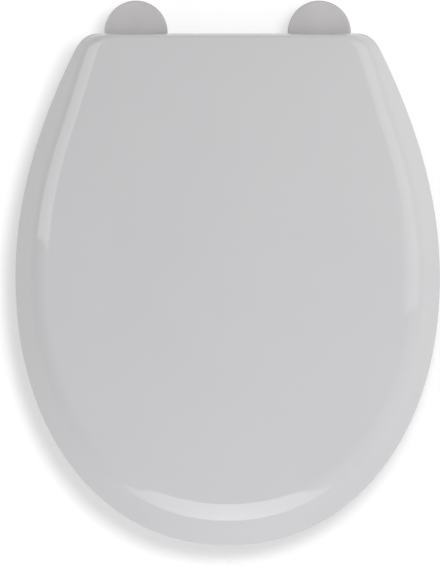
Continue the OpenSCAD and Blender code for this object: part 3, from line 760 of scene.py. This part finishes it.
def buildPost(name, side, damperSide):
    h, c = hinge, catch
    y, z, r = h["axisY"], h["axisZ"], h["barrel"]
    arc = []
    for k in range(h["arcSteps"] + 1):
        turn = radians(h["arcStart"] + (h["arcEnd"] - h["arcStart"]) * k / h["arcSteps"])
        arc.append((y + r * cos(turn), z + r * sin(turn)))
    arc = [p for p in arc if p[0] > h["postBack"] or p[1] > z]  # none of it behind the back
    shape = slab(softened(
        [(h["postBack"], h["postBottom"], 0.8), (h["postBack"], z - h["backMeets"])] + arc
        + [(h["postFront"], z + 1.5, 3), (h["postFront"], h["postBottom"], 0.8)], closed=True),
        -h["postHalf"], 2 * h["postHalf"], 0.7)
    mouth, floor = damperSide * (h["postHalf"] + 1), damperSide * (h["postHalf"] - c["damperLength"])
    bores = [axisRod(c["damperBore"], min(mouth, floor), max(mouth, floor))]
    pinFloor = -damperSide * c["pinDepth"]
    bores.append(axisRod(c["pinBore"], min(pinFloor, -mouth), max(pinFloor, -mouth)))
    bores.append(moved(rod(fixing["stud"] + 0.15, h["postBottom"] - 1, fixing["studTop"] + 0.6),
                       0, h["studY"]))
    shape = combined(shape, together(*bores), "DIFFERENCE")
    slot = block((-8.2, h["studY"] - 5.9, h["catchZ"] - 1), (10.8, h["studY"] + 5.9, h["catchZ"] + 1))
    shape = combined(shape, slot, "DIFFERENCE")
    hole = rod(c["button"] + 0.1, c["noseStart"] - c["travel"] - 0.3, h["postHalf"] + 4)
    hole = moved(turned(hole, pi / 2, "Y"), 0, h["studY"], h["catchZ"])
    shape = combined(shape, hole, "DIFFERENCE")
    finishPiece(atHinge(shape, side), name + "Post", "hinge_posts", hingePlastic,
                [name + "_post"])


def buildButton(name, side):
    c = catch
    neckStart = c["noseStart"] + c["noseLength"]
    headStart = neckStart + c["neckLength"] + c["rampLength"]
    headEnd = hinge["postHalf"] + c["travel"] + 1.5
    shape = lathe(softened([
        (0, c["noseStart"]), (c["nose"] - 0.7, c["noseStart"], 0.3),
        (c["nose"], neckStart, 0.1), (c["neck"], neckStart, 0.2),
        (c["neck"], neckStart + c["neckLength"], 0.3), (c["button"], headStart, 0.4),
        (c["button"], headEnd, 0.8), (c["button"] - 1.2, headEnd, 0.4),
        (c["button"] - 2, headEnd - 0.35, 0.5), (0, headEnd - 0.45)]), closed=False, steps=48)
    moved(turned(shape, pi / 2, "Y"), 0, hinge["studY"], hinge["catchZ"])
    finishPiece(atHinge(shape, side), name + "Button", name + "_button", greyPlastic,
                [name + "_release_button"])


def buildCatch(name, side):
    c = catch
    legEnd = c["noseStart"] + c["noseLength"] + 0.9
    half = [(-c["legY"] * cos(k * pi / 24), c["legY"] * sin(k * pi / 24)) for k in range(13)]
    half += softened([(0, c["legY"]), (legEnd - 2.2, c["legY"], 1), (legEnd, c["legY"] - 1.1, 1),
                      (legEnd, 2.15)])[1:]
    path = [(x, -y) for x, y in reversed(half[1:])] + half
    line = bpy.data.curves.new(name + "CatchLine", "CURVE")
    line.dimensions = "3D"
    line.bevel_depth = fixing["wire"]
    line.bevel_resolution = 4
    line.use_fill_caps = True
    spline = line.splines.new("POLY")
    spline.points.add(len(path) - 1)
    for point, (x, y) in zip(spline.points, path):
        point.co = (x, y + hinge["studY"], hinge["catchZ"], 1)
    carrier = bpy.data.objects.new("carrier", line)
    scene.collection.objects.link(carrier)
    bpy.context.view_layer.update()
    shape = bmesh.new()
    shape.from_mesh(carrier.evaluated_get(bpy.context.evaluated_depsgraph_get()).to_mesh())
    bpy.data.objects.remove(carrier)
    finishPiece(atHinge(settle(shape), side), name + "Catch", "hinge_posts", steel,
                [name + "_catch_spring"])


for sideName, sideSign in sides.items():
    buildPost(sideName, sideSign, -sideSign)
    buildButton(sideName, sideSign)
    buildCatch(sideName, sideSign)
print("hinges modelled")


# The pieces inside the hinges keep their CAD shapes

carried = dict(
    lid_damper_body=damperPlastic, ring_damper_body=damperPlastic,
    lid_damper_cap=steel, ring_damper_cap=steel, lid_damper_shaft=damperPlastic,
    ring_damper_shaft=damperPlastic, left_ring_pin=steel, right_lid_pin=steel,
    left_ring_bush=nylon, right_lid_bush=nylon)
for nodeName, finish in carried.items():
    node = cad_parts[nodeName]
    for place in node.material_slots:
        place.link = "OBJECT"
        place.material = finish
print("inner pieces dressed")


# Stage, light and camera

studio = dict(floorDark=(0.8, 0.8, 0.8), floorLight=(0.81, 0.81, 0.81), floorSize=4,
              floorMiddle=-0.22, floorGlow=0.27, ambient=0.72,
              keyPlace=(0.22, 0.07, 2.23), keyAim=(0, -0.225, 0.03), keySize=0.42, keyLevel=1.3)


def seenDirectly(tree):  # 1 for rays from the camera, off gloss or through clear pieces, else 0
    path = tree.nodes.new("ShaderNodeLightPath")
    seen = path.outputs["Is Camera Ray"]
    for kind in ("Is Glossy Ray", "Is Transmission Ray"):
        either = tree.nodes.new("ShaderNodeMath")
        either.operation = "MAXIMUM"
        tree.links.new(seen, either.inputs[0])
        tree.links.new(path.outputs[kind], either.inputs[1])
        seen = either.outputs[0]
    return seen


def buildFloor():
    bm = bmesh.new()
    bmesh.ops.create_grid(bm, x_segments=1, y_segments=1, size=studio["floorSize"])
    bmesh.ops.translate(bm, vec=(0, studio["floorMiddle"], cadLow.z), verts=bm.verts)
    floor = looseObject(bm, "floor")
    paint = bpy.data.materials.new("whiteFloor")
    paint.use_nodes = True
    tree = paint.node_tree
    tree.nodes.clear()
    out = tree.nodes.new("ShaderNodeOutputMaterial")
    glow = tree.nodes.new("ShaderNodeMath")
    glow.operation = "MULTIPLY"
    glow.inputs[1].default_value = studio["floorGlow"]
    tree.links.new(seenDirectly(tree), glow.inputs[0])
    grain = addNode(tree, "ShaderNodeTexNoise", Scale=3)
    ramp = tree.nodes.new("ShaderNodeValToRGB")
    ramp.color_ramp.elements[0].color = (*studio["floorDark"], 1)
    ramp.color_ramp.elements[1].color = (*studio["floorLight"], 1)
    tree.links.new(grain.outputs["Fac"], ramp.inputs["Fac"])
    matt = tree.nodes.new("ShaderNodeBsdfDiffuse")
    tree.links.new(ramp.outputs["Color"], matt.inputs["Color"])
    light = tree.nodes.new("ShaderNodeEmission")
    tree.links.new(glow.outputs[0], light.inputs["Strength"])
    both = tree.nodes.new("ShaderNodeAddShader")
    tree.links.new(matt.outputs[0], both.inputs[0])
    tree.links.new(light.outputs[0], both.inputs[1])
    clear = tree.nodes.new("ShaderNodeBsdfTransparent")
    sideOf = tree.nodes.new("ShaderNodeNewGeometry")
    mix = tree.nodes.new("ShaderNodeMixShader")  # seen from below, the floor is clear
    tree.links.new(sideOf.outputs["Backfacing"], mix.inputs["Fac"])
    tree.links.new(both.outputs[0], mix.inputs[1])
    tree.links.new(clear.outputs[0], mix.inputs[2])
    tree.links.new(mix.outputs[0], out.inputs["Surface"])
    floor.data.materials.append(paint)


def buildWorld():
    world = bpy.data.worlds.new("studio")
    scene.world = world
    world.use_nodes = True
    tree = world.node_tree
    tree.nodes.clear()
    out = tree.nodes.new("ShaderNodeOutputWorld")
    ambient = addNode(tree, "ShaderNodeBackground", Color=(1, 1, 1, 1),
                      Strength=studio["ambient"])
    backdrop = addNode(tree, "ShaderNodeBackground", Color=(1, 1, 1, 1), Strength=1)
    mix = tree.nodes.new("ShaderNodeMixShader")
    tree.links.new(seenDirectly(tree), mix.inputs["Fac"])
    tree.links.new(ambient.outputs[0], mix.inputs[1])
    tree.links.new(backdrop.outputs[0], mix.inputs[2])
    tree.links.new(mix.outputs[0], out.inputs["Surface"])


# large soft lamps that light the seat alone, and that its gloss doesn't show
washes = dict(
    front=dict(place=(0.06, -0.885, 0.49), aim=(0, -0.4785, 0.199), size=(0.75, 1.25), level=0.93,
               colour=(0.92, 0.905, 1)),
    right=dict(place=(0.64, 0.055, 0.49), aim=(0.23, 0.055, 0.2), size=(0.69, 1.25), level=0.92,
               colour=(1, 1, 1)),
    left=dict(place=(-1.05, -0.2, 0.25), aim=(-0.17, -0.2, 0.03), size=(1, 0.3), level=0.6,
              colour=(1, 1, 1)))

# white screens that only gloss shows, by their corners: levels holds the brightness at both
# ends of span, which runs up along Z or out from the middle along X
screens = dict(
    front=dict(axis="X", span=(0, 0.62), levels=(3.8, 1.6), corners=[
        (0.06, -0.58, 0.91), (0.16, -0.67, 0.78), (0.38, -0.96, 0.38), (0.58, -1.08, 0.2),
        (0.62, -1.17, 0.064), (-0.62, -1.17, 0.064), (-0.58, -1.08, 0.2), (-0.38, -0.96, 0.38),
        (-0.16, -0.67, 0.78), (-0.06, -0.58, 0.91)]),
    right=dict(axis="Z", span=(0.18, 0.36), levels=(1.2, 2.1), corners=[
        (0.25, -0.28, 1), (1, -0.31, 0.08), (1, 0.45, 0.08), (0.25, 0.4, 1)]),
    left=dict(axis="Z", span=(0.1, 0.22), levels=(1.2, 2.9), corners=[
        (-0.27, -0.2, 1), (-0.27, 0.4, 1), (-1, 0.45, 0.08), (-1, -0.1, 0.08)]))


def addLamp(name, place, aim, size, level, colour, floorState):
    data = bpy.data.lights.new(name, "AREA")
    data.shape = "RECTANGLE"
    data.size, data.size_y = size
    data.energy = level * pi * size[0] * size[1]
    data.color = colour
    lamp = bpy.data.objects.new(name, data)
    scene.collection.objects.link(lamp)
    lamp.location = place
    lamp.rotation_euler = (Vector(aim) - Vector(place)).to_track_quat("-Z", "Y").to_euler()
    lamp.visible_camera = False
    lamp.visible_glossy = False
    lit = bpy.data.collections.new(name)
    lit.objects.link(bpy.data.objects["floor"])
    lit.collection_objects[0].light_linking.link_state = floorState
    lamp.light_linking.receiver_collection = lit


def addScreen(name, axis, span, levels, corners):
    bm = bmesh.new()
    bm.faces.new([bm.verts.new(corner) for corner in corners])
    screen = looseObject(bm, name)
    glowing = bpy.data.materials.new(name)
    glowing.use_nodes = True
    tree = glowing.node_tree
    tree.nodes.clear()
    out = tree.nodes.new("ShaderNodeOutputMaterial")
    coords = tree.nodes.new("ShaderNodeTexCoord")
    axes = tree.nodes.new("ShaderNodeSeparateXYZ")
    away = tree.nodes.new("ShaderNodeMath")
    away.operation = "ABSOLUTE"
    strength = addNode(tree, "ShaderNodeMapRange", From_Min=span[0], From_Max=span[1],
                       To_Min=levels[0], To_Max=levels[1])
    light = tree.nodes.new("ShaderNodeEmission")
    tree.links.new(coords.outputs["Object"], axes.inputs[0])
    tree.links.new(axes.outputs[axis], away.inputs[0])
    tree.links.new(away.outputs[0], strength.inputs["Value"])
    tree.links.new(strength.outputs["Result"], light.inputs["Strength"])
    tree.links.new(light.outputs[0], out.inputs["Surface"])
    screen.data.materials.append(glowing)
    screen.visible_camera = False
    screen.visible_diffuse = False
    screen.visible_shadow = False
    screen.visible_transmission = False


def buildLights():
    # the key lights the floor alone, where the seat throws its shadow
    size = studio["keySize"]
    reach = (Vector(studio["keyPlace"]) - Vector(studio["keyAim"])).length
    addLamp("key", studio["keyPlace"], studio["keyAim"], (size, size),
            studio["keyLevel"] * reach ** 2 / size ** 2, (1, 1, 1), "INCLUDE")
    for name, wash in washes.items():
        addLamp(name + "Wash", wash["place"], wash["aim"], wash["size"], wash["level"],
                wash["colour"], "EXCLUDE")
    for name, screen in screens.items():
        addScreen(name + "Screen", screen["axis"], screen["span"], screen["levels"],
                  screen["corners"])


view = dict(middle=(-0.0067, -0.2186), plane=0.0125, distance=4.0, tall=0.4927)


def buildCamera():
    data = bpy.data.cameras.new("camera")
    data.sensor_width = 36
    data.lens = 36 * view["distance"] / view["tall"]
    data.clip_end = 50
    camera = bpy.data.objects.new("camera", data)
    scene.collection.objects.link(camera)
    camera.location = (*view["middle"], view["plane"] + view["distance"])
    scene.camera = camera


buildFloor()
buildWorld()
buildLights()
buildCamera()
scene.view_settings.view_transform = "Standard"
print("stage set")
